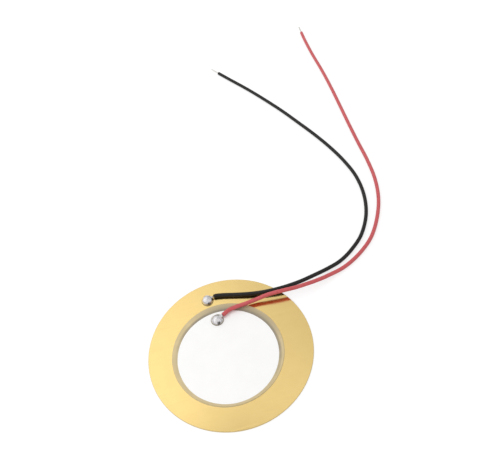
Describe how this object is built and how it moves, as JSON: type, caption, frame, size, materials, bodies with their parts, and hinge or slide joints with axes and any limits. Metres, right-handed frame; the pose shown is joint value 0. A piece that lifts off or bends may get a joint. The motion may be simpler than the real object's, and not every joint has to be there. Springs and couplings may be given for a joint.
{
  "type": "piezo disc",
  "caption": "Round brass plate with a thinner ceramic disc bonded on it, a silvered face, and a red and a black lead soldered on.",
  "frame": {"origin": "centre of the brass plate's underside, on the surface that the part lies on", "axes": "+Z out of the plate on the ceramic's side; +Y from the plate's centre towards the solder joints, which lie near it, and towards the leads' free ends; +X to the side where the leads cross the plate's rim"},
  "size_m": [0.0657, 0.121, 0.0027],
  "materials": {
    "brass": "satin",
    "ceramic": "matte",
    "silver": "satin",
    "bond": "satin",
    "solder": "gloss",
    "tinned_wire": "satin",
    "black_insulation": "satin",
    "red_insulation": "satin"
  },
  "bodies": {
    "root": {"brass_plate": "brass", "bond_layer": "bond", "back_electrode": "silver", "ceramic_disc": "ceramic", "front_electrode": "silver", "ground_solder_joint": "solder", "signal_solder_joint": "solder", "black_lead_insulation": "black_insulation", "black_lead_conductor": "tinned_wire", "red_lead_insulation": "red_insulation", "red_lead_conductor": "tinned_wire"}
  },
  "joints": []
}
